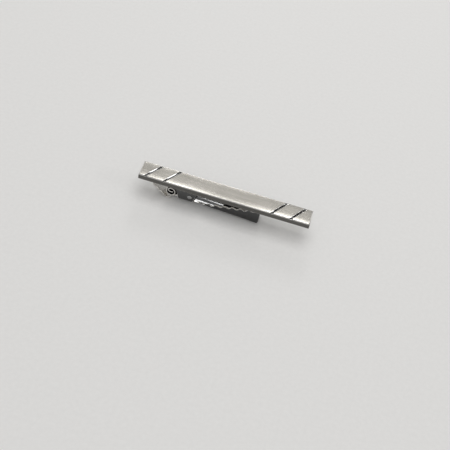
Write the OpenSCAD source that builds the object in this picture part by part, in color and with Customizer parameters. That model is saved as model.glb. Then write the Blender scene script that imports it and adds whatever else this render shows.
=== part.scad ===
// Tie clip: a straight bar with diagonal grooves and a sprung alligator clip on its back.
// Millimetres. X runs along the bar, Y across it and Z up. The origin is on the surface that
// the clip stands on, under the middle of the bar. The thumb tab is at -X and the jaw opens at +X.

/* [Bar] */
// Length of the bar
bar_length = 58; // [56:0.5:66]
// Width of the bar
bar_width = 6.5; // [6.4:0.1:8]
// Thickness of the bar
bar_thickness = 2.2; // [1.6:0.1:3]
// Size of the polished bevel round the face
bevel = 0.35; // [0.2:0.05:0.6]
// Size of the small bevel round the back
back_bevel = 0.12; // [0.05:0.01:0.2]

/* [Grooves] */
// Distance from each end of the bar to the middle of its outer groove
groove_from_end = 4.4; // [4:0.1:6]
// Distance between the two grooves of a pair
groove_pitch = 6.4; // [4:0.1:8]
// How far a groove runs along the bar while it crosses from front to back
groove_run = 4.4; // [2:0.1:6]
// Width of a groove at the face
groove_width = 0.8; // [0.5:0.05:1]
// Depth of a groove
groove_depth = 0.4; // [0.2:0.05:0.6]

/* [Bracket] */
// Thickness of the clip's sheet metal
sheet = 0.5; // [0.4:0.05:0.6]
// Thickness of the solder between the bracket and the bar
solder = 0.08; // [0.05:0.01:0.15]
// Distance from the bar's left end to the bracket's left end
bracket_from_end = 9; // [8:0.5:9.5]
// Length of the bracket's base plate
bracket_length = 15; // [13:0.5:18]
// Length of an ear where it leaves the base plate
ear_length = 7.4; // [6.8:0.1:7.4]
// Length of an ear at its lower edge
ear_foot = 4.9; // [4.2:0.1:5]

/* [Lever] */
// Height of the clip, from the bar's back down to the lever's lowest line
clip_height = 6.2; // [6.2:0.1:6.6]
// Width of the lever
lever_width = 4.4; // [4:0.1:4.6]
// Distance from the bar's left end to the pivot
pin_from_end = 17.8; // [17.6:0.1:18]
// Height of the pivot above the lever's lowest line
pin_height = 4; // [3.9:0.1:4.1]
// Radius of the pivot pin
pin_radius = 0.5; // [0.4:0.05:0.6]
// Distance from the pivot to the jaw's tip
jaw_reach = 23.8; // [20:0.1:26]
// Slope of the jaw's underside in degrees, rising from its tip to the neck
jaw_slope = 3.2; // [3:0.1:3.4]
// Gap between the closed jaw's tip and the bar's back
tip_gap = 0.1; // [0.05:0.05:0.3]
// Distance between two notches in the jaw's edges
tooth_pitch = 2.7; // [2.4:0.1:3]

/* [Spring] */
// Thickness of the spring's strip
strip_thickness = 0.35; // [0.25:0.01:0.4]
// Width of the spring's strip
strip_width = 3.8; // [3:0.1:4]

/* [Hidden] */
$fn = 64;
past = 1;                                  // how far a cutter runs past the metal
bend_step = 7.5;                           // largest step round a bend in degrees

// Levels above the surface that the clip stands on
back_z = clip_height;
face_z = back_z + bar_thickness;
plate_top = back_z - solder;
plate_bottom = plate_top - sheet;

// Distances along the bar
left_x = -bar_length / 2;
pin_x = left_x + pin_from_end;
tip_x = pin_x + jaw_reach;
bracket_x = left_x + bracket_from_end;

// Grooves: the middles of both pairs, and the angle of all four
groove_offset = bar_length / 2 - groove_from_end;
groove_middles = [-groove_offset, groove_pitch - groove_offset, groove_offset - groove_pitch, groove_offset];
groove_angle = atan2(groove_run, bar_width);

// Bracket: the ears stand a slip fit outside the lever, and reach just past the pivot's bore
slip = 0.1;
ear_gap = lever_width + 2 * slip;
ear_width = ear_gap + 2 * sheet;
ear_x = pin_x - 1.3;                       // middle of the ears, a little behind the pivot
ear_foot_z = pin_height - 1.95;            // height of the ears' lower edge
ear_corner = 0.6;                          // radius of the ears' lower corners
solder_bead = 0.25;                        // how far the solder shows round the plate
plate_round = 1;                           // corner radius of the base plate

// Pin: its two heads stay inside the bar's width
head_radius = 0.8;
head_height = 0.3;
bore_clearance = 0.05;                     // running fit of the lever on the pin

// Lever: its channel starts a little behind the pivot and slopes down to the jaw's tip
channel_round = 0.7;                       // outside radius of the channel's bends
hub_radius = 1.25;                         // metal round the pivot's bore
channel_back = 3.8;                        // from the pivot back to the channel's start
channel_length = (jaw_reach + channel_back) / cos(jaw_slope);
wall_start_z = 2.2;                        // height of the walls at the channel's start
hub_foot = [pin_x + 1.5, 1.75];            // where the hub's front edge meets the floor
rim_start = [pin_x + 3.2, 1.75];           // where the jaw's edge leaves the floor
rim_end = [tip_x, clip_height - tip_gap];
rim_slope = (rim_end.y - rim_start.y) / (rim_end.x - rim_start.x);
tooth_count = 7;
tooth_start = 5;                           // from the pivot to the first notch
tooth_radius = 0.9;
tooth_lift = 0.35;                         // height of a notch's centre above the edge

// Thumb tab: from the neck the sheet dips to the lowest line, bends and rises to the tab's tip
neck_run = 0.5;
dip = 30;                                  // slope of the dip in degrees
tab_rise = 22.7;                           // slope of the tab in degrees
neck_bend = 0.8;                           // inside radius of the upper bend
tab_bend = 1;                              // inside radius of the lower bend
tab_run = 5.6;
dip_height = (channel_length + neck_run) * sin(jaw_slope)
    + neck_bend * (cos(dip) - cos(jaw_slope)) - (tab_bend + sheet) * (1 - cos(dip));
dip_run = dip_height / sin(dip);

// Thumb tab's outline from above: round tip, straight sides, rounded shoulders and narrow neck
tab_tip = [pin_x - 13, 0];                 // centre of the round tip
tip_round = 0.45;
tab_half = lever_width / 2 + 0.05;
tab_wide_x = pin_x - 8.5;                  // where the tab reaches its full width
shoulder_round = 0.5;
shoulder = [pin_x - 7.2, tab_half - shoulder_round];
neck_half = 1.5;
neck_back = shoulder.x + 0.75;
neck_front = pin_x - 5.4;
flare_end = pin_x - 4.2;                   // where the neck is as wide as the channel

// Spring: under the bracket, down its back, round the dip, up its front and curled inside itself
spring_x = pin_x - 6.75;
spring_foot = 1.3;                         // height of the spring's lowest line
back_corner = 1.5;                         // outside radii of the turns
front_turn = 1.7;
inner_turn = 0.95;
upper_leg = 1.7;
inner_leg = 0.8;
back_run = plate_bottom - spring_foot - 2 * back_corner;

// Turns an outline drawn in X-Z into a solid of one width, centred on the clip
module across(width) {
    rotate([90, 0, 0]) linear_extrude(width, center = true) children();
}

// Turns an outline drawn in Y-Z into a solid that runs along +X
module along(length) {
    rotate([90, 0, 90]) linear_extrude(length) children();
}

// Rectangle with all four corners rounded, its left edge on the Y axis
module round_plate(length, width, round) {
    translate([round, -width / 2]) square([length - 2 * round, width]);
    translate([0, -width / 2 + round]) square([length, width - 2 * round]);
    for (x = [round, length - round], side = [-1, 1])
        translate([x, side * (width / 2 - round)]) circle(round);
}

// Rectangle that stands on the X axis, with its two lower corners rounded
module tub(width, height, round) {
    translate([-width / 2 + round, 0]) square([width - 2 * round, height]);
    translate([-width / 2, round]) square([width, height - round]);
    for (side = [-1, 1])
        translate([side * (width / 2 - round), round]) circle(round);
}

// Section of a channel of bent sheet, open at the top
module channel_section(width, height, round) {
    difference() {
        tub(width, height, round);
        translate([0, sheet]) tub(width - 2 * sheet, height, round - sheet);
    }
}

// A strip of sheet seen from the side is a list of pieces, each [straight run, turn, inside radius
// of the bend]. A turn to the left is positive. A pose is [x, y, heading] on the strip's right edge.
function ahead(pose, run) = [pose.x + run * cos(pose.z), pose.y + run * sin(pose.z), pose.z];
function leftward(pose, d) = [pose.x - d * sin(pose.z), pose.y + d * cos(pose.z)];
function turned(pose, reach, turn) =
    let (centre = leftward(pose, reach))
    concat(leftward([centre.x, centre.y, pose.z + turn], -reach), pose.z + turn);

function strip_poses(pieces, thickness, from = [0, 0, 0], i = 0) =
    i == len(pieces) ? [] :
    let (run = pieces[i][0], turn = pieces[i][1], inside = pieces[i][2],
         corner = ahead(from, run),
         reach = turn > 0 ? thickness + inside : -inside,
         steps = ceil(abs(turn) / bend_step),
         bend = [for (k = [1:1:steps]) turned(corner, reach, turn * k / steps)],
         here = concat(run > 0 ? [corner] : [], bend))
    concat(here, strip_poses(pieces, thickness, here[len(here) - 1], i + 1));

module bent_strip(pieces, thickness) {
    poses = concat([[0, 0, 0]], strip_poses(pieces, thickness));
    last = len(poses) - 1;
    polygon(concat([for (p = poses) [p.x, p.y]],
                   [for (i = [last:-1:0]) leftward(poses[i], thickness)]));
}

// Where the line from a point p touches a circle, on the circle's left as seen from its centre
function touch(centre, radius, p) =
    let (d = p - centre, line = atan2(d.y, d.x) - asin(radius / norm(d)))
    centre + radius * [-sin(line), cos(line)];

function flipped(points) = [for (i = [len(points) - 1:-1:0]) [points[i].x, -points[i].y]];

module bar_blank() {
    half = bar_width / 2;
    intersection() {
        translate([left_x, 0, 0]) along(bar_length)
            polygon([[-half + back_bevel, back_z], [half - back_bevel, back_z],
                     [half, back_z + back_bevel], [half, face_z - bevel],
                     [half - bevel, face_z], [-half + bevel, face_z],
                     [-half, face_z - bevel], [-half, back_z + back_bevel]]);
        across(bar_width + past)
            polygon([[left_x + back_bevel, back_z], [-left_x - back_bevel, back_z],
                     [-left_x, back_z + back_bevel], [-left_x, face_z - bevel],
                     [-left_x - bevel, face_z], [left_x + bevel, face_z],
                     [left_x, face_z - bevel], [left_x, back_z + back_bevel]]);
    }
}

// V-shaped cutter that crosses the bar at the grooves' angle
module groove_cutter() {
    half = groove_width / 2;
    rise = groove_depth / half;
    translate([0, 0, face_z]) rotate(-groove_angle) across(2 * bar_width + 2 * past)
        polygon([[0, -groove_depth], [half + past, past * rise], [-half - past, past * rise]]);
}

module tie_bar() {
    color("silver") difference() {
        bar_blank();
        for (x = groove_middles) translate([x, 0, 0]) groove_cutter();
    }
}

module solder_seam() {
    color("lightgray") translate([bracket_x - solder_bead, 0, plate_top]) linear_extrude(solder)
        round_plate(bracket_length + 2 * solder_bead, ear_gap + 2 * solder_bead, plate_round + solder_bead);
}

// Side view of the two ears, narrowing downwards to rounded corners
module ear_outline() {
    flat = ear_foot / 2 - ear_corner;
    corner_z = ear_foot_z + ear_corner;
    polygon([[ear_x - ear_length / 2, plate_top], [ear_x + ear_length / 2, plate_top],
             [ear_x + ear_foot / 2, corner_z], [ear_x + flat, ear_foot_z],
             [ear_x - flat, ear_foot_z], [ear_x - ear_foot / 2, corner_z]]);
    for (side = [-1, 1])
        translate([ear_x + side * flat, corner_z]) circle(ear_corner);
}

module clip_bracket() {
    color("darkgray") difference() {
        union() {
            translate([bracket_x, 0, plate_bottom]) linear_extrude(sheet)
                round_plate(bracket_length, ear_gap, plate_round);
            intersection() {
                translate([ear_x - ear_length / 2 - past, 0, plate_top]) mirror([0, 0, 1])
                    along(ear_length + 2 * past) channel_section(ear_width, clip_height, channel_round);
                across(ear_width + past) ear_outline();
            }
        }
        translate([pin_x, 0, pin_height]) rotate([90, 0, 0])
            cylinder(h = ear_width + past, r = pin_radius, center = true);
    }
}

module pivot_pin() {
    color("gainsboro") translate([pin_x, 0, pin_height]) rotate([90, 0, 0]) {
        cylinder(h = ear_width, r = pin_radius, center = true);
        for (side = [0, 1]) mirror([0, 0, side]) translate([0, 0, ear_width / 2]) {
            cylinder(h = head_height / 2, r = head_radius);
            translate([0, 0, head_height / 2])
                cylinder(h = head_height / 2, r1 = head_radius, r2 = head_radius * 0.6);
        }
    }
}

module band_spring() {
    color("whitesmoke") translate([spring_x + upper_leg, 0, plate_bottom]) across(strip_width)
        rotate(180) bent_strip([[upper_leg, 90, back_corner - strip_thickness],
                                [back_run, 90, back_corner - strip_thickness],
                                [0, 180, front_turn - strip_thickness],
                                [0, 180, inner_turn - strip_thickness],
                                [inner_leg, 0, 0]], strip_thickness);
}

// Places what is drawn in the lever's own axes: X back from the jaw's tip, along its underside
module lever_axes() {
    translate([tip_x, 0, 0]) rotate([0, jaw_slope, 0]) children();
}

// Side view of the channel: the hub round the pivot, and the wedge of the jaw
module channel_outline() {
    start_x = pin_x - channel_back;
    polygon([[start_x - past, -past], [tip_x, -past], rim_end, rim_start, hub_foot,
             [pin_x + hub_radius, pin_height], [pin_x - hub_radius, pin_height],
             [start_x, wall_start_z], [start_x - past, wall_start_z]]);
    translate([pin_x, pin_height]) circle(hub_radius);
}

module lever_channel() {
    intersection() {
        union() {
            lever_axes() translate([-channel_length, 0, 0]) along(channel_length + past)
                channel_section(lever_width, 2 * clip_height, channel_round);
            lever_axes() translate([-sheet, 0, 0]) along(sheet + past)
                tub(lever_width, 2 * clip_height, channel_round);
        }
        across(lever_width + past) channel_outline();
    }
}

// Thumb tab, dip and neck: a bent strip trimmed to the tab's outline
module thumb_tab() {
    wide = [tab_wide_x, tab_half];
    edge = [touch(tab_tip, tip_round, wide), wide,
            [shoulder.x, tab_half], [shoulder.x + shoulder_round, shoulder.y],
            [neck_back, neck_half], [neck_front, neck_half],
            [flare_end, lever_width / 2], [pin_x, lever_width / 2]];
    intersection() {
        lever_axes() translate([-channel_length + neck_run, 0, 0]) across(lever_width + past)
            mirror([1, 0]) bent_strip([[2 * neck_run, -dip - jaw_slope, neck_bend],
                                       [dip_run, dip + tab_rise, tab_bend],
                                       [tab_run + past, 0, 0]], sheet);
        linear_extrude(clip_height) {
            polygon(concat(edge, flipped(edge)));
            translate(tab_tip) circle(tip_round);
            for (side = [-1, 1]) translate([shoulder.x, side * shoulder.y]) circle(shoulder_round);
        }
    }
}

// Round notches that leave teeth along the jaw's two edges
module tooth_notches() {
    for (i = [0:tooth_count - 1]) {
        x = pin_x + tooth_start + i * tooth_pitch;
        z = rim_start.y + rim_slope * (x - rim_start.x) + tooth_lift;
        translate([x, 0, z]) rotate([90, 0, 0])
            cylinder(h = lever_width + past, r = tooth_radius, center = true);
    }
}

module clip_lever() {
    color("lightsteelblue") difference() {
        union() {
            lever_channel();
            thumb_tab();
        }
        tooth_notches();
        translate([pin_x, 0, pin_height]) rotate([90, 0, 0])
            cylinder(h = lever_width + past, r = pin_radius + bore_clearance, center = true);
    }
}

tie_bar();
solder_seam();
clip_bracket();
pivot_pin();
band_spring();
clip_lever();
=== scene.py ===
"""Tie clip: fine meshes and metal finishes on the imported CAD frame, with a floor, lights and a camera.

Shapes are worked out in millimetres in the CAD frame, and become metres as each mesh is made.
"""

import math

import bmesh
import bpy
from mathutils import Matrix, Vector, noise


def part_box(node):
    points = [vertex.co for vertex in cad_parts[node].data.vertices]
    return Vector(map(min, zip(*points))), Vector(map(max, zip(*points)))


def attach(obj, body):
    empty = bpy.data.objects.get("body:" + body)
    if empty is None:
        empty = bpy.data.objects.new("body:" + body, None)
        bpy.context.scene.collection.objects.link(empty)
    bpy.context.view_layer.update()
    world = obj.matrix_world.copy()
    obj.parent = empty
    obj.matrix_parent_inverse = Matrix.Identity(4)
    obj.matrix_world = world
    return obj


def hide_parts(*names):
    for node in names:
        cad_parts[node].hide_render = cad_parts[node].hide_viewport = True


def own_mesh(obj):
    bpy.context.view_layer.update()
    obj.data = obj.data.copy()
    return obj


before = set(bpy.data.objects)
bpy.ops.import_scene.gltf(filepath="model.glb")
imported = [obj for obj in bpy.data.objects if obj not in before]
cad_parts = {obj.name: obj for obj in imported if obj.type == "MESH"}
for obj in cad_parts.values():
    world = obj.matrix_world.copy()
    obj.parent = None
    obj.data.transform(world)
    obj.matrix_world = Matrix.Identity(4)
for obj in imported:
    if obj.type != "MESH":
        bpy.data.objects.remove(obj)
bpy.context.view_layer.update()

MM = 0.001


def box_mm(node):
    """Lowest and highest corner of a CAD node in millimetres."""
    low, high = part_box(node)
    return low / MM, high / MM


def middle(node):
    """Middle of a CAD node in millimetres."""
    low, high = box_mm(node)
    return (low + high) / 2


# Places that the frame gives
bar_low, bar_high = box_mm("tie_bar")
half_length, half_width = bar_high.x, bar_high.y
back_z, face_z = bar_low.z, bar_high.z
bracket_low, bracket_high = box_mm("clip_bracket")
plate_top = bracket_high.z
pin_x, pin_z = middle("pivot_pin").x, middle("pivot_pin").z
pin_end = box_mm("pivot_pin")[1].y
tip_x = box_mm("clip_lever")[1].x
spring_low, spring_high = box_mm("band_spring")

# Sizes that the CAD source has too
BEVEL, BACK_BEVEL = 0.35, 0.12
GROOVE_FROM_END, GROOVE_PITCH, GROOVE_RUN = 4.4, 6.4, 4.4
GROOVE_HALF, GROOVE_DEPTH = 0.4, 0.4
SHEET, STRIP = 0.5, 0.35                   # thicknesses of the sheet metal and of the spring
FOLD = 0.7                                 # outside radius of the folds in the bracket and the lever
PLATE_CORNER = 1                           # radius of the corners of the bracket's base plate
EAR_TOP, EAR_FOOT, EAR_CORNER = 7.4, 4.9, 0.6
EAR_SETBACK = 1.3                          # from the pivot back to the middle of the ears
PIN_RADIUS, HEAD_RADIUS, HEAD_HEIGHT = 0.5, 0.8, 0.3
PIN_CLEARANCE = 0.05                       # between the pin and the lever's bore
HUB_RADIUS = 1.25                          # metal round the lever's bore
LEVER_HALF = 2.2                           # half the width of the lever's channel
CHANNEL_BACK = 3.8                         # from the pivot back to the channel's start
WALL_START = 2.2                           # height of the lever's walls where its channel starts
RIM_FOOT, RIM_START = 1.75, 3.2            # low stretch of the jaw's rim: height, and end from the pivot
TOOTH_COUNT, TOOTH_START, TOOTH_PITCH = 7, 5, 2.7
NOTCH_RADIUS, NOTCH_LIFT = 0.9, 0.35       # a notch's centre is so far above the jaw's rim
TIP_GAP = 0.1                              # between the closed jaw's tip and the bar's back

SAME_SPOT = 1e-4                           # vertices that are nearer than this are joined
UV_SPAN = 10                               # millimetres of the bar's plan in one unit of the UV map


# ---------------------------------------------------------------- mesh helpers

def between(low, high, count):
    """Evenly spaced numbers from low to high, both included."""
    return [low + (high - low) * i / count for i in range(count + 1)]


def smooth_step(t):
    """A smooth rise from 0 at t = 0 to 1 at t = 1."""
    t = min(1.0, max(0.0, t))
    return t * t * (3 - 2 * t)


def polar(centre, radius, degrees):
    """The point so far from a centre, in a direction counted from the first axis to the second."""
    angle = math.radians(degrees)
    return (centre[0] + radius * math.cos(angle), centre[1] + radius * math.sin(angle))


def rounded(corners, step=12):
    """An open outline from corners (x, y, radius), each rounded to its radius."""
    points = [tuple(corners[0][:2])]
    for before, (x, y, radius), after in zip(corners, corners[1:], corners[2:]):
        here = Vector((x, y))
        to_before = (Vector(before[:2]) - here).normalized()
        to_after = (Vector(after[:2]) - here).normalized()
        half = to_before.angle(to_after) / 2
        centre = here + (to_before + to_after).normalized() * radius / math.sin(half)
        start = here + to_before * radius / math.tan(half) - centre
        turn = -start.angle_signed(here + to_after * radius / math.tan(half) - centre)
        steps = max(1, math.ceil(abs(math.degrees(turn)) / step))
        for k in range(steps + 1):
            points.append(tuple(centre + Matrix.Rotation(turn * k / steps, 2) @ start))
    return points + [tuple(corners[-1][:2])]


def refined(points, gap):
    """The same outline with no two neighbouring points further apart than gap."""
    filled = []
    for (x0, y0), (x1, y1) in zip(points, points[1:]):
        steps = max(1, math.ceil(math.hypot(x1 - x0, y1 - y0) / gap))
        filled += [(x0 + (x1 - x0) * k / steps, y0 + (y1 - y0) * k / steps) for k in range(steps)]
    return filled + [tuple(points[-1])]


def increasing(points, gap):
    """The same outline without the points that aren't at least gap further along X than the last."""
    kept = [points[0]]
    for point in points[1:]:
        if point[0] - kept[-1][0] >= gap:
            kept.append(point)
    return kept


def height_on(points, x):
    """Height at x on an outline whose points are in order of x."""
    for (x0, y0), (x1, y1) in zip(points, points[1:]):
        if x <= x1 and x1 > x0:
            return y0 + (y1 - y0) * max(0.0, (x - x0) / (x1 - x0))
    return points[-1][1]


def quads(bm, rows):
    """Joins rows of vertices, each as long as the next, with quads."""
    return [bm.faces.new((lower[i], lower[i + 1], upper[i + 1], upper[i]))
            for lower, upper in zip(rows, rows[1:]) for i in range(len(lower) - 1)]


def make_piece(name, bm, materials):
    """A smooth-shaded object from a bmesh in millimetres. Its UV map's U runs across the brushing."""
    bmesh.ops.remove_doubles(bm, verts=bm.verts, dist=SAME_SPOT)
    layer = bm.loops.layers.uv.new("plan")
    for face in bm.faces:
        face.smooth = True
        for loop in face.loops:
            loop[layer].uv = (loop.vert.co.y / UV_SPAN, loop.vert.co.x / UV_SPAN)
    bmesh.ops.scale(bm, vec=(MM, MM, MM), verts=bm.verts)
    mesh = bpy.data.meshes.new(name)
    bm.to_mesh(mesh)
    bm.free()
    piece = bpy.data.objects.new(name, mesh)
    bpy.context.scene.collection.objects.link(piece)
    for material in materials:
        mesh.materials.append(material)
    return piece


def thicken(piece, thickness, inner_material=0, rim_material=0):
    """Gives an outer surface its sheet's thickness, inwards.

    The inner side's and the cut rim's materials are so many places after the outer side's.
    """
    modifier = piece.modifiers.new("Thickness", "SOLIDIFY")
    modifier.thickness = thickness * MM
    modifier.offset = -1
    modifier.use_even_offset = True
    modifier.use_quality_normals = True
    modifier.material_offset = inner_material
    modifier.material_offset_rim = rim_material


def merge_walls(piece):
    """Joins the facets of each flat side wall into one, so that its rim can be rounded cleanly.

    Facets that touch a fold are left as they are.
    """
    square_on, edge_on = 0.9999, 0.01      # a side wall's and a rim's part of the normal across the bar
    bm = bmesh.new()
    bm.from_mesh(piece.data)
    bm.normal_update()
    walls = [face for face in bm.faces if abs(face.normal.y) > square_on]
    calm = {face for face in walls
            if not any(edge_on < abs(near.normal.y) < square_on
                       for vert in face.verts for near in vert.link_faces)}
    inside = [edge for edge in bm.edges if len(edge.link_faces) == 2 and calm.issuperset(edge.link_faces)]
    bmesh.ops.dissolve_edges(bm, edges=inside, use_verts=True, use_face_split=False)
    bm.to_mesh(piece.data)
    bm.free()


def soften_edges(piece, width, material=-1, degrees=35):
    """Rounds every sharp edge a little, as tumbling and polishing do."""
    modifier = piece.modifiers.new("Soft edges", "BEVEL")
    modifier.width = width * MM
    modifier.segments = 3
    modifier.limit_method = "ANGLE"
    modifier.angle_limit = math.radians(degrees)
    modifier.use_clamp_overlap = False
    modifier.harden_normals = True
    modifier.material = material
    steady = piece.modifiers.new("Steady normals", "WEIGHTED_NORMAL")
    steady.mode = "FACE_AREA"
    steady.weight = 60


def bore(piece, radius):
    """Drills a piece across the bar at the pivot, and leaves no tool behind."""
    sides, length = 48, 10
    bm = bmesh.new()
    turned = Matrix.Translation((pin_x, 0, pin_z)) @ Matrix.Rotation(math.radians(90), 4, "X")
    bmesh.ops.create_cone(bm, cap_ends=True, segments=sides, radius1=radius, radius2=radius, depth=length,
                          matrix=turned)
    drill = make_piece("drill", bm, [])
    modifier = piece.modifiers.new("Bore", "BOOLEAN")
    modifier.object = drill
    modifier.solver = "EXACT"
    freeze(piece)
    bpy.data.objects.remove(drill)


def freeze(piece):
    """Turns a piece's modifiers into its own mesh."""
    graph = bpy.context.evaluated_depsgraph_get()
    mesh = bpy.data.meshes.new_from_object(piece.evaluated_get(graph), depsgraph=graph)
    piece.modifiers.clear()
    piece.data = mesh


def fit_out(piece, node, body):
    """Puts a finished piece in its CAD node's place."""
    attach(piece, body)
    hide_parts(node)


# ---------------------------------------------------------------- materials

def add_node(tree, kind, inputs=None, **settings):
    """Adds a shader node, sets its properties, and links or sets its inputs."""
    made = tree.nodes.new(kind)
    for name, value in settings.items():
        setattr(made, name, value)
    for name, value in (inputs or {}).items():
        if isinstance(value, bpy.types.NodeSocket):
            tree.links.new(value, made.inputs[name])
        else:
            made.inputs[name].default_value = value
    return made


def noise_factor(tree, per_mm, stretch=(1, 1, 1), turn=0.0, detail=4.0, rough=0.6):
    """Noise with so many features per millimetre, stretched by a scale on each axis."""
    where = add_node(tree, "ShaderNodeTexCoord").outputs["Object"]
    mapping = add_node(tree, "ShaderNodeMapping",
                       {"Vector": where, "Scale": stretch, "Rotation": (0, 0, math.radians(turn))})
    made = add_node(tree, "ShaderNodeTexNoise",
                    {"Vector": mapping.outputs["Vector"], "Scale": per_mm / MM, "Detail": detail,
                     "Roughness": rough})
    return made.outputs["Fac"]


def spread(tree, factor, low, high, start=0.3, end=0.7):
    """Maps the middle range of a factor onto low to high."""
    made = add_node(tree, "ShaderNodeMapRange",
                    {"Value": factor, "From Min": start, "From Max": end, "To Min": low, "To Max": high})
    return made.outputs["Result"]


def mix_colours(tree, factor, first, second):
    """A blend of two colours. The Mix node's colour sockets can be told apart only by their places."""
    made = tree.nodes.new("ShaderNodeMix")
    made.data_type = "RGBA"
    tree.links.new(factor, made.inputs["Factor"])
    made.inputs[6].default_value = first
    made.inputs[7].default_value = second
    return made.outputs[2]


def grey(level, warmth=0.0):
    """A grey that turns towards yellow as warmth rises."""
    return (level * (1 + warmth), level, level * (1 - 2 * warmth), 1)


BRUSH_MARKS, POLISH_MARKS = 6, 1.5         # features per millimetre
SMUDGES, SCRATCHES = 0.35, 9
SMUDGE_STRETCH, SCRATCH_STRETCH = (0.5, 1, 1), (0.03, 1, 1)
SCRATCH_TURN = 17                          # degrees between the scratches and the bar


def metal(name, dark, light, rough, smudge=0.06, brush=None, depth=0.6, anisotropy=0.0):
    """A metal finish with brushing or polishing marks, wide smudges and a few crossing scratches.

    The marks shade it from dark to light, set its roughness within rough, and are depth microns high.
    The smudges add up to smudge to the roughness, and brush is the noise scale of brushing marks.
    """
    material = bpy.data.materials.new(name)
    material.use_nodes = True
    tree = material.node_tree
    shader = tree.nodes["Principled BSDF"]
    shader.inputs["Metallic"].default_value = 1
    marks = noise_factor(tree, BRUSH_MARKS if brush else POLISH_MARKS, brush or (1, 1, 1), detail=5,
                         rough=0.65)
    smudges = noise_factor(tree, SMUDGES, SMUDGE_STRETCH, detail=3)
    scratches = noise_factor(tree, SCRATCHES, SCRATCH_STRETCH, turn=SCRATCH_TURN, detail=2)
    tone = mix_colours(tree, spread(tree, marks, 0, 1), dark, light)
    tree.links.new(tone, shader.inputs["Base Color"])
    roughness = add_node(tree, "ShaderNodeMath",
                         {0: spread(tree, marks, rough[0], rough[1]), 1: spread(tree, smudges, 0, smudge)},
                         operation="ADD")
    tree.links.new(roughness.outputs[0], shader.inputs["Roughness"])
    few_scratches = spread(tree, scratches, 0, 0.5, start=0.62, end=0.75)
    relief = add_node(tree, "ShaderNodeMath", {0: marks, 1: few_scratches}, operation="SUBTRACT")
    bump = add_node(tree, "ShaderNodeBump",
                    {"Height": relief.outputs[0], "Strength": 1.0, "Distance": depth * MM / 1000})
    tree.links.new(bump.outputs["Normal"], shader.inputs["Normal"])
    if anisotropy:
        shader.inputs["Anisotropic"].default_value = anisotropy
        tangent = add_node(tree, "ShaderNodeTangent", direction_type="UV_MAP", uv_map="plan")
        tree.links.new(tangent.outputs["Tangent"], shader.inputs["Tangent"])
    return material


ALONG = (0.02, 1, 1)                       # noise scale that makes lines along the bar
brushed_face = metal("brushed_face", grey(0.44, 0.05), grey(0.50, 0.04), (0.16, 0.21), smudge=0.03,
                     brush=ALONG, depth=0.5, anisotropy=0.5)
polished_edge = metal("polished_edge", grey(0.72, 0.02), grey(0.80, 0.02), (0.06, 0.10), smudge=0.03,
                      depth=0.1)
# The bar's sides and ends are a dark copy of its polished metal: a painted dark reflection where polished
# sides would mirror the pale floor.
side_painted_reflection = metal("side_painted_reflection", grey(0.12, 0.03), grey(0.145, 0.03), (0.08, 0.14), brush=(0.1, 1, 1),
                      depth=0.2)
# The groove walls are dimmed copies of the bar's polished metal, and the lower walls are near black: painted
# shade in the grooves.
groove_wall = metal("groove_wall", grey(0.24), grey(0.30), (0.05, 0.08), smudge=0.02, depth=0.1)
groove_painted_shade = metal("groove_painted_shade", grey(0.01), grey(0.02), (0.10, 0.16), smudge=0.02, depth=0.1)
plain_back = metal("plain_back", grey(0.45, 0.03), grey(0.55, 0.03), (0.28, 0.4), brush=(0.05, 1, 1),
                   depth=1.0)
# The jaw's outer walls and the channel's inside are dark copies of the lever's plating, which the tab shows
# light: painted dark reflection outside, painted shade inside.
jaw_outside_painted_reflection = metal("jaw_outside_painted_reflection", grey(0.09), grey(0.11), (0.08, 0.13), smudge=0.03, depth=0.1)
jaw_inside_painted_shade = metal("jaw_inside_painted_shade", grey(0.13), grey(0.15), (0.08, 0.12), smudge=0.03, depth=0.05)
tab_brushed = metal("tab_brushed", grey(0.46, 0.03), grey(0.56, 0.03), (0.20, 0.28), smudge=0.04,
                    brush=ALONG, depth=0.8, anisotropy=0.5)
cut_edge = metal("cut_edge", grey(0.74, 0.02), grey(0.88, 0.02), (0.12, 0.22), depth=0.4)
# The bracket and its ears are painted near black: a painted dark reflection on the ears' upright faces.
ear_steel_painted_reflection = metal("ear_steel_painted_reflection", grey(0.09), grey(0.12), (0.10, 0.18), smudge=0.04, depth=0.3)
pin_steel = metal("pin_steel", grey(0.30), grey(0.40), (0.12, 0.22), depth=0.4)
spring_steel = metal("spring_steel", grey(0.62, 0.02), grey(0.78, 0.02), (0.08, 0.16), depth=0.2)
# The spring's inner side is a dark copy of its steel: painted shade inside the roll.
spring_inside_painted_shade = metal("spring_inside_painted_shade", grey(0.12), grey(0.18), (0.08, 0.16), depth=0.2)
solder_tin = metal("solder_tin", grey(0.42), grey(0.62), (0.25, 0.5), depth=6)


# ---------------------------------------------------------------- bar

FIELD, EDGE, SHINE, SIDE, BACK, SHADE = range(6)   # places of the bar's materials
INSETS = [0, BACK_BEVEL, BEVEL]            # stations at each end of the bar, from its end inwards
GROOVE_DARK = 0.62                         # share of a groove's left wall, from its bottom, that is painted dark as shade
FACE_ROWS, FACE_COLUMNS = 16, 12           # quads across the face, and along it between the groove pairs
CROWN = 0.12                               # how much lower the brushed face is at its long edges
CROWN_AT_BEVEL = 0.78                      # share of the crown's drop where the face meets the bevels


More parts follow.
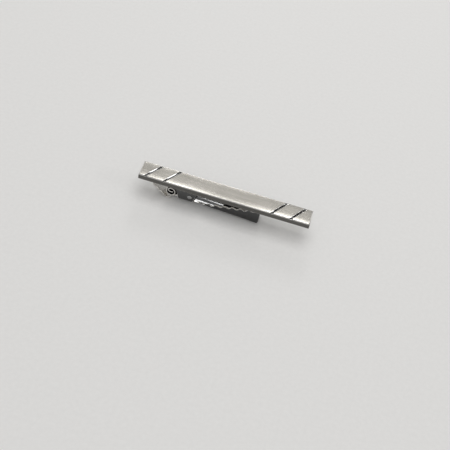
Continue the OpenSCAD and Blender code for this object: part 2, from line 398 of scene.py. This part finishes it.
def bar_columns():
    """Stations along the bar, each (distance on the middle line, skew, share of a groove's depth).

    They stand square to the bar at its ends and lie along the grooves between them.
    """
    skew = GROOVE_RUN / (2 * half_width)
    lip = GROOVE_HALF * math.hypot(1, skew)
    outer = half_length - GROOVE_FROM_END
    inner = outer - GROOVE_PITCH
    square_end, first_lip = -half_length + BEVEL, -outer - lip
    lead_in = [(square_end + (first_lip - square_end) * t, skew * t) for t in (0.35, 0.7)]
    columns = [(-half_length + d, 0, 0) for d in INSETS]
    columns += [(s, k, 0) for s, k in lead_in]
    for groove in (-outer, -inner, inner, outer):
        columns += [(groove + lip * t, skew, 1 - abs(t)) for t in (-1, -GROOVE_DARK, 0, 1)]
        if groove == -inner:
            columns += [(s, skew, 0) for s in between(groove + lip, inner - lip, FACE_COLUMNS)[1:-1]]
    columns += [(-s, k, 0) for s, k in reversed(lead_in)]
    return columns + [(half_length - d, 0, 0) for d in reversed(INSETS)]


def split_ridge(bm, ring):
    """One flat quad, or two triangles that meet on the higher of its two diagonals."""
    a, b, c, d = ring
    lift = a.co.z + c.co.z - b.co.z - d.co.z
    if abs(lift) < SAME_SPOT:
        return [bm.faces.new(ring)]
    if lift > 0:
        return [bm.faces.new((a, b, c)), bm.faces.new((a, c, d))]
    return [bm.faces.new((a, b, d)), bm.faces.new((b, c, d))]


def around(grid):
    """The vertices round a grid's edge, clockwise from above."""
    left, right = [row[0] for row in grid], [row[-1] for row in grid]
    return left + grid[-1][1:] + right[-2::-1] + grid[0][-2:0:-1]


def top_material(on_bevel, depth, next_depth):
    """A face's material from its own column's share of a groove's depth and the next one's."""
    # Below the strip that catches the light, a groove's walls take the painted shade.
    if depth > 0:
        return SHADE
    if next_depth > 0:
        return SHINE
    return EDGE if on_bevel else FIELD


def make_bar():
    """A slab with a crowned face, bevels, and four grooves cut into its face and its long bevels."""
    bevel_top = BEVEL - CROWN_AT_BEVEL * CROWN
    edge_rows = [half_width, half_width - BACK_BEVEL, half_width - bevel_top]
    inner_rows = between(-edge_rows[-1], edge_rows[-1], FACE_ROWS)[1:-1]
    rows = [-y for y in edge_rows] + inner_rows + edge_rows[::-1]
    columns = bar_columns()
    bm = bmesh.new()
    top, bottom = [], []
    for y in rows:
        top.append([])
        bottom.append([])
        for s, skew, depth in columns:
            x = s + skew * y
            inset = min(half_width - abs(y), half_length - abs(x))
            drop = max(BEVEL - inset, CROWN * abs(y / half_width) ** 3, GROOVE_DEPTH * depth)
            top[-1].append(bm.verts.new((x, y, face_z - drop)))
            bottom[-1].append(bm.verts.new((x, y, back_z + max(0, BACK_BEVEL - inset))))
    last_row, last_column = len(rows) - 2, len(columns) - 2
    for r in range(len(rows) - 1):
        for c in range(len(columns) - 1):
            on_bevel = r in (0, 1, last_row - 1, last_row) or c in (0, 1, last_column - 1, last_column)
            material = top_material(on_bevel, columns[c][2], columns[c + 1][2])
            for face in split_ridge(bm, (top[r][c], top[r][c + 1], top[r + 1][c + 1], top[r + 1][c])):
                face.material_index = material
            under = bm.faces.new((bottom[r][c], bottom[r + 1][c], bottom[r + 1][c + 1], bottom[r][c + 1]))
            under.material_index = BACK
    upper, lower = around(top), around(bottom)
    for i in range(len(upper)):
        bm.faces.new((upper[i - 1], upper[i], lower[i], lower[i - 1])).material_index = SIDE
    finishes = [brushed_face, polished_edge, groove_wall, side_painted_reflection, plain_back, groove_painted_shade]
    piece = make_piece("bar_body", bm, finishes)
    soften_edges(piece, 0.035, material=EDGE, degrees=25)
    freeze(piece)
    fit_out(piece, "tie_bar", "bar")


# ---------------------------------------------------------------- bent sheet

def follow(start, heading, pieces, step=6):
    """Points on one face of a bent strip, each (x, z, heading in degrees).

    A piece is (straight run, turn, this face's radius). A turn to the left is positive.
    """
    x, z = start
    points = [(x, z, heading)]
    for run, turn, radius in pieces:
        if run:
            x, z = polar((x, z), run, heading)
            points.append((x, z, heading))
        side = math.copysign(90, turn)
        centre = polar((x, z), radius, heading + side)
        steps = math.ceil(abs(turn) / step)
        for k in range(1, steps + 1):
            angle = heading + turn * k / steps
            points.append(polar(centre, radius, angle - side) + (angle,))
        heading += turn
        x, z = points[-1][:2]
    return points


def half_section(flat, height, lean, counts, share=1.0):
    """From a folded sheet's middle line to its rim: (across, inwards) on the outside of the fold.

    The sheet's middle part bellies out, and leans so many degrees where the fold begins. The fold's rows
    reach no further than share of the way to the rim, so that a low wall's rows aren't crowded.
    """
    flats, folds, walls = counts
    lean = math.radians(lean)
    flat += FOLD * math.sin(lean)
    belly = flat * math.tan(lean) / 2
    half = [(flat * i / flats, belly * (i / flats) ** 2) for i in range(flats + 1)]
    top = math.acos(max(0.0, math.cos(lean) - (height - belly) / FOLD))
    fold = FOLD * (top - lean)
    whole = fold + max(0.0, height - belly - FOLD * math.cos(lean))
    first = min(fold, whole * share)
    for run in between(0, first, folds)[1:] + between(first, whole, walls)[1:]:
        angle = lean + min(run, fold) / FOLD
        half.append((flat + FOLD * (math.sin(angle) - math.sin(lean)),
                     belly + FOLD * (math.cos(lean) - math.cos(angle)) + max(0.0, run - fold)))
    return half


def folded_rows(bm, stations, counts=(6, 6, 6), share=lambda x: 1.0):
    """Rows of vertices across a sheet whose two sides fold inwards.

    A station is (x, z, heading, flat half width, height of the fold's rim, lean). Inwards is to the left.
    """
    rows = []
    for x, z, heading, flat, height, lean in stations:
        half = half_section(flat, height, lean, counts, share(x))
        across = [(-w, lift) for w, lift in reversed(half[1:])] + half
        points = [(w, polar((x, z), lift, heading + 90)) for w, lift in across]
        rows.append([bm.verts.new((px, w, pz)) for w, (px, pz) in points])
    return rows


# ---------------------------------------------------------------- lever

JAW_SLOPE, DIP, TAB_RISE = 3.2, 30, 22.7   # slopes of the jaw's floor, the dip and the tab in degrees
NECK_BEND, TAB_BEND = 0.8, 1.5             # radii of the two bends on the lever's underside
NECK_RUN, TAB_RUN = 0.5, 5.6               # straight runs before the first bend and after the second
NECK_HALF, TAB_HALF, TAB_TIP_RADIUS = 1.5, 2.25, 0.45
CHANNEL_FLAT = LEVER_HALF - FOLD           # half width of the channel's floor between its folds
CHANNEL_LEAN = 16                          # how far the floor leans at its folds, as it bellies out
RIM_TOP = back_z - TIP_GAP                 # height of the closed jaw's rim at its tip
TAB_TIP, TAB_WIDE, TAB_SHOULDER, NECK_FRONT = 13, 8.5, 6.75, 5.4   # from the pivot back
channel_start = pin_x - CHANNEL_BACK
neck_front = pin_x - NECK_FRONT


def floor_z(x):
    """Underside of the channel."""
    return (tip_x - x) * math.tan(math.radians(JAW_SLOPE))


def channel_lean(x, height):
    """The floor is flat where it has no walls yet, and where it meets the tip's wall."""
    return CHANNEL_LEAN * max(0.0, min(1.0, height / 0.6, (tip_x - FOLD - x) / 4))


def fold_share(x):
    """Rows are spread evenly up the wall, except from the hub to the low stretch in front of it."""
    even, hub_back, stretch_front = 0.66, pin_x - 1, pin_x + 5.6
    return even + (1 - even) * min(smooth_step(x - hub_back), smooth_step((stretch_front - x) / 0.8))


def jaw_rim():
    """Side view of the wall's rim from the channel's start to its tip: slope, hub, low stretch and teeth."""
    hub, foot = HUB_RADIUS, RIM_FOOT
    start = pin_x + RIM_START
    rise = (RIM_TOP - foot) / (tip_x - start)
    points = rounded([(channel_start, WALL_START, 0), (pin_x - hub - 0.1, pin_z - 0.35, 0.4),
                      (pin_x - hub, pin_z + hub, hub - 0.05), (pin_x + hub, pin_z + hub, hub - 0.05),
                      (pin_x + hub + 0.25, foot, 0.35), (start, foot, 1),
                      (start + 0.8, foot + 0.8 * rise, 0)])
    tilt = math.degrees(math.atan(rise))
    opening = math.degrees(math.acos(NOTCH_LIFT * math.cos(math.radians(tilt)) / NOTCH_RADIUS))
    turns = between(tilt - 90 - opening, tilt - 90 + opening, 12)
    for i in range(TOOTH_COUNT):
        x = pin_x + TOOTH_START + TOOTH_PITCH * i
        centre = (x, foot + rise * (x - start) + NOTCH_LIFT)
        points += [polar(centre, NOTCH_RADIUS, turn) for turn in turns]
    return points + [(tip_x - FOLD, RIM_TOP - rise * FOLD)]


def tab_outline():
    """Half width of the thumb tab and its neck, from the tab's tip forwards: (x, half width)."""
    tip, wide = Vector((pin_x - TAB_TIP, 0)), Vector((pin_x - TAB_WIDE, TAB_HALF))
    reach = wide - tip
    touch = 90 + math.degrees(math.atan2(reach.y, reach.x) - math.asin(TAB_TIP_RADIUS / reach.length))
    nose = [polar(tip, TAB_TIP_RADIUS, t) for t in between(180, touch, 8)]
    shoulder = pin_x - TAB_SHOULDER
    sides = rounded([(*nose[-1], 0), (*wide, 3), (shoulder, TAB_HALF, 0.45),
                     (shoulder + 0.35, NECK_HALF, 0.3), (neck_front, NECK_HALF, 0)])
    return nose[:-1] + refined(sides, 0.3)


def tab_stations():
    """Stations of the tab, the dip and the neck, from the tab's tip to the channel's start."""
    slope, dip = math.radians(JAW_SLOPE), math.radians(DIP)
    drop = ((tip_x - channel_start) / math.cos(slope) + NECK_RUN) * math.sin(slope)
    drop += NECK_BEND * (math.cos(dip) - math.cos(slope)) - TAB_BEND * (1 - math.cos(dip))
    path = follow((channel_start, floor_z(channel_start)), 180 - JAW_SLOPE,
                  [(NECK_RUN, DIP + JAW_SLOPE, NECK_BEND), (drop / math.sin(dip), -DIP - TAB_RISE, TAB_BEND),
                   (TAB_RUN + 1, 0, 1)])   # the line runs a little past the tab's tip
    path.reverse()
    outline = tab_outline()
    lip = WALL_START - floor_z(channel_start)
    stops = sorted(outline + [point for point in path if outline[-1][0] < point[0] < channel_start - 0.05])
    stations = []
    for x in [point[0] for point in increasing(stops, 0.03)]:
        height = lip * smooth_step((x - neck_front) / (channel_start - neck_front))
        stations.append((x, height_on([(px, pz) for px, pz, _ in path], x),
                         180 + height_on([(px, turn) for px, _, turn in path], x),
                         height_on(outline, x), height, channel_lean(x, height)))
    return stations


def tip_rows(bm, rim_end, counts):
    """Rows round the closed tip of the channel, each from its floor up to its rim."""
    x, rim_z = rim_end
    height = rim_z - floor_z(x)
    half = half_section(CHANNEL_FLAT, height, 0, counts)
    across = [w for w, _ in half[1:counts[0]]]
    turns = [(-CHANNEL_FLAT, t) for t in between(-90, 0, 8)]
    turns += [(y, 0) for y in [-w for w in reversed(across)] + [0] + across]
    turns += [(CHANNEL_FLAT, t) for t in between(0, 90, 8)]
    rows = []
    for y, turn in turns:
        rows.append([])
        for w, lift in half[counts[0]:]:
            px, py = polar((x, y), w - CHANNEL_FLAT, turn)
            rise = lift * (rim_z + (RIM_TOP - rim_z) * (px - x) / FOLD - floor_z(px)) / height
            rows[-1].append(bm.verts.new((px, py, floor_z(px) + rise)))
    return rows[::-1]


def make_lever():
    """One stamping: the thumb tab, the neck, and the channel with its hubs and its toothed rims."""
    counts = (8, 4, 2)                     # quads across half the floor, round a fold and up a wall
    rim = increasing(refined(jaw_rim(), gap=0.4), gap=0.025)
    channel = [(x, floor_z(x), 0, CHANNEL_FLAT, z - floor_z(x), channel_lean(x, z - floor_z(x)))
               for x, z in rim]
    bm = bmesh.new()
    for face in quads(bm, folded_rows(bm, tab_stations() + channel, counts, fold_share)):
        face.material_index = 1 if face.calc_center_median().x < neck_front else 0
    quads(bm, tip_rows(bm, rim[-1], counts))
    piece = make_piece("jaw_lever", bm, [jaw_outside_painted_reflection, tab_brushed, jaw_inside_painted_shade, tab_brushed, cut_edge])
    thicken(piece, SHEET, inner_material=2, rim_material=4)
    freeze(piece)
    merge_walls(piece)
    bore(piece, PIN_RADIUS + PIN_CLEARANCE)
    soften_edges(piece, 0.08, material=4)
    freeze(piece)
    fit_out(piece, "clip_lever", "lever")


# ---------------------------------------------------------------- bracket, pin, spring and solder

def make_bracket():
    """A base plate with rounded corners, and an ear folded down from each of its long sides."""
    ear_x = pin_x - EAR_SETBACK
    plate_half = bracket_high.y - SHEET
    left, right, foot_z = bracket_low.x, bracket_high.x, bracket_low.z
    ear_left, ear_right = ear_x - EAR_TOP / 2, ear_x + EAR_TOP / 2
    foot = EAR_FOOT / 2 - 0.1              # where an ear's sloping ends would meet its lower edge
    ear = rounded([(ear_left, plate_top, 0), (ear_x - foot, foot_z, EAR_CORNER),
                   (ear_x + foot, foot_z, EAR_CORNER), (ear_right, plate_top, 0)], step=8)
    corner = [polar((PLATE_CORNER, plate_half - PLATE_CORNER), PLATE_CORNER, t) for t in between(180, 90, 8)]
    relief = [(0.4, plate_half), (0.3, plate_half - 0.22), (0.12, plate_half - 0.3)]   # notch by an ear
    stations = [(left + d, w, 0) for d, w in corner] + [(ear_left - d, w, 0) for d, w in relief]
    stations += [(x, bracket_high.y - FOLD, plate_top - z) for x, z in increasing(refined(ear, 0.3), 0.03)]
    stations += [(ear_right + d, w, 0) for d, w in reversed(relief)]
    stations += [(right - d, w, 0) for d, w in reversed(corner)]
    bm = bmesh.new()
    outside = [(x, plate_top, 180, flat, height, 0) for x, flat, height in reversed(stations)]
    quads(bm, folded_rows(bm, outside))
    piece = make_piece("ear_bracket", bm, [ear_steel_painted_reflection, cut_edge])
    thicken(piece, SHEET, rim_material=1)
    freeze(piece)
    merge_walls(piece)
    bore(piece, PIN_RADIUS)
    soften_edges(piece, 0.05, material=1)
    freeze(piece)
    fit_out(piece, "clip_bracket", "bar")


def make_pin():
    """A rivet turned about the pivot: a shaft and two domed heads with a punch mark in each."""
    head = pin_end - HEAD_HEIGHT
    rim = 0.1                              # height of the head's straight rim, under the dome
    half = [(PIN_RADIUS, 0), (PIN_RADIUS, head), (HEAD_RADIUS - 0.03, head)]
    for r, y in [polar((0, 0), 1, t) for t in between(0, 72, 8)]:
        half.append((HEAD_RADIUS * r, head + rim + (HEAD_HEIGHT - rim) * y))
    half += [(0.16, pin_end - 0.03), (0, pin_end - 0.09)]      # the punch mark
    profile = [(r, -y) for r, y in reversed(half[1:])] + half
    bm = bmesh.new()
    rows = []
    for turn in between(0, 360, 48):
        around_pin = [(polar((pin_x, pin_z), r, turn), y) for r, y in profile]
        rows.append([bm.verts.new((x, y, z)) for (x, z), y in around_pin])
    quads(bm, rows)
    piece = make_piece("pivot_rivet", bm, [pin_steel])
    fit_out(piece, "pivot_pin", "bar")


def make_spring():
    """A strip that runs back under the plate, turns down and forwards, and rolls inwards to its end."""
    corner, front, inner = 1.5, 1.7, 0.95  # outside radii of the turns
    upper_leg, inner_leg = 1.7, 0.8
    top, foot = spring_high.z, spring_low.z
    path = follow((spring_low.x + corner + upper_leg, top), 180,
                  [(upper_leg, 90, corner), (top - foot - 2 * corner, 90, corner), (0, 180, front),
                   (0, 180, inner), (inner_leg, 0, 1)], step=5)
    bm = bmesh.new()
    quads(bm, folded_rows(bm, [(x, z, heading, spring_high.y, 0, 0) for x, z, heading in path], (4, 1, 1)))
    piece = make_piece("rolled_spring", bm, [spring_steel, spring_inside_painted_shade, cut_edge])
    thicken(piece, STRIP, inner_material=1, rim_material=2)
    soften_edges(piece, 0.08, material=2)
    freeze(piece)
    fit_out(piece, "band_spring", "bar")
    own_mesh(piece)


def make_solder():
    """An uneven fillet of solder all round the bracket's plate, against the bar's back."""
    height, mean_reach = 0.2, 0.24
    half_x, half_y = (bracket_high.x - bracket_low.x) / 2, bracket_high.y - SHEET
    round_x, round_y = half_x - PLATE_CORNER, half_y - PLATE_CORNER    # middles of the plate's corners
    centre_x = (bracket_high.x + bracket_low.x) / 2
    side = rounded([(-half_x, 0, 0), (-half_x, half_y, PLATE_CORNER), (half_x, half_y, PLATE_CORNER),
                    (half_x, 0, 0)])
    side = refined(side, 0.25)
    outline = side + [(x, -y) for x, y in reversed(side[1:-1])]
    bm = bmesh.new()
    rings = []
    for x, y in outline + outline[:1]:
        out = Vector((x - min(max(x, -round_x), round_x), y - min(max(y, -round_y), round_y))).normalized()
        spot = Vector((x, y, 0))
        reach = mean_reach + 0.16 * noise.noise(spot * 0.9) + 0.06 * noise.noise(spot * 3.1)
        rings.append([])
        for t in between(0, 90, 5):
            wide = reach * (1 - math.cos(math.radians(t)))
            low = height * (1 - math.sin(math.radians(t)))
            rings[-1].append(bm.verts.new((centre_x + x + out.x * wide, y + out.y * wide, back_z - low)))
    quads(bm, rings)
    bm.faces.new([ring[-1] for ring in rings[:-1]])
    bm.faces.new([ring[0] for ring in reversed(rings[:-1])])
    piece = make_piece("solder_bead", bm, [solder_tin])
    fit_out(piece, "solder_seam", "bar")


# ---------------------------------------------------------------- floor, light and camera

WALL_GLOW = 0.46
SOFTBOXES = [                              # name, azimuth, elevation, distance, size, glow
    ("back", 180, 41, 0.9, (1.4, 0.5), 0.15),
    ("ceiling", 180, 69, 0.9, (0.8, 0.34), 1.6),
    ("left_strip", 195, 60, 0.9, (0.06, 0.14), 6),
    ("right_strip", 175, 60, 0.9, (0.07, 0.14), 6),
    ("low_back", 186, 25.5, 0.9, (0.2, 0.19), 7),
    ("key", 200, 88, 0.9, (0.9, 0.4), 1.0),
    ("front", 5, 56, 0.9, (0.4, 0.12), 5),
    ("right", 92, 30.5, 0.8, (0.2, 0.06), 8)]


def direction(azimuth, elevation):
    """From the object outwards, in degrees. Azimuth 0 is in front, at -Y, and 90 at +X."""
    turn, lift = math.radians(azimuth), math.radians(elevation)
    return Vector((math.sin(turn) * math.cos(lift), -math.cos(turn) * math.cos(lift), math.sin(lift)))


def add_softbox(name, azimuth, elevation, distance, size, glow):
    """An oblong area light that faces the bar's face, as bright as glow. Lengths are in metres."""
    away = direction(azimuth, elevation)
    data = bpy.data.lights.new(name, "AREA")
    data.shape = "RECTANGLE"
    data.size, data.size_y = size
    data.energy = glow * math.pi * size[0] * size[1]
    light = bpy.data.objects.new(name, data)
    bpy.context.scene.collection.objects.link(light)
    light.location = Vector((0, 0, face_z * MM)) + away * distance
    light.rotation_mode = "QUATERNION"
    light.rotation_quaternion = (-away).to_track_quat("-Z", "Y")
    light.visible_camera = False


def make_floor():
    """A square of pale paper, in metres, on which the closed clip stands."""
    half = 3.0
    bm = bmesh.new()
    corners = [(-half, -half), (half, -half), (half, half), (-half, half)]
    bm.faces.new([bm.verts.new((x, y, 0)) for x, y in corners])
    mesh = bpy.data.meshes.new("floor")
    bm.to_mesh(mesh)
    bm.free()
    floor = bpy.data.objects.new("floor", mesh)
    bpy.context.scene.collection.objects.link(floor)
    paper = bpy.data.materials.new("pale_paper")
    paper.use_nodes = True
    tree = paper.node_tree
    shader = tree.nodes["Principled BSDF"]
    fibres = noise_factor(tree, 0.8, detail=4)
    tone = mix_colours(tree, spread(tree, fibres, 0, 1), grey(0.78, 0.01), grey(0.81, 0.01))
    tree.links.new(tone, shader.inputs["Base Color"])
    shader.inputs["Roughness"].default_value = 0.75
    mesh.materials.append(paper)


def light_scene():
    """Even light from the studio's walls, and the softboxes."""
    world = bpy.data.worlds.new("studio")
    bpy.context.scene.world = world
    world.use_nodes = True
    tree = world.node_tree
    walls = tree.nodes["Background"]
    walls.inputs["Color"].default_value = grey(0.9)
    walls.inputs["Strength"].default_value = WALL_GLOW
    for softbox in SOFTBOXES:
        add_softbox(*softbox)


def make_camera():
    """The camera stands in front, looks down on the bar and leans to its left."""
    away, lean = direction(4.5, 49.32), math.radians(-13.26)
    distance, aim = 245.4, Vector((3.15, -13.68, face_z))
    data = bpy.data.cameras.new("camera")
    data.lens = 62.43
    data.sensor_width = 36
    data.clip_start, data.clip_end = 0.01, 20
    camera = bpy.data.objects.new("camera", data)
    bpy.context.scene.collection.objects.link(camera)
    level = (-away).to_track_quat("-Z", "Y")
    camera.rotation_mode = "QUATERNION"
    camera.rotation_quaternion = level @ Matrix.Rotation(-lean, 3, "Z").to_quaternion()
    camera.location = (aim + away * distance) * MM
    bpy.context.scene.camera = camera


bpy.context.scene.view_settings.view_transform = "Standard"
make_bar()
make_solder()
make_bracket()
make_pin()
make_spring()
make_lever()
make_floor()
light_scene()
make_camera()
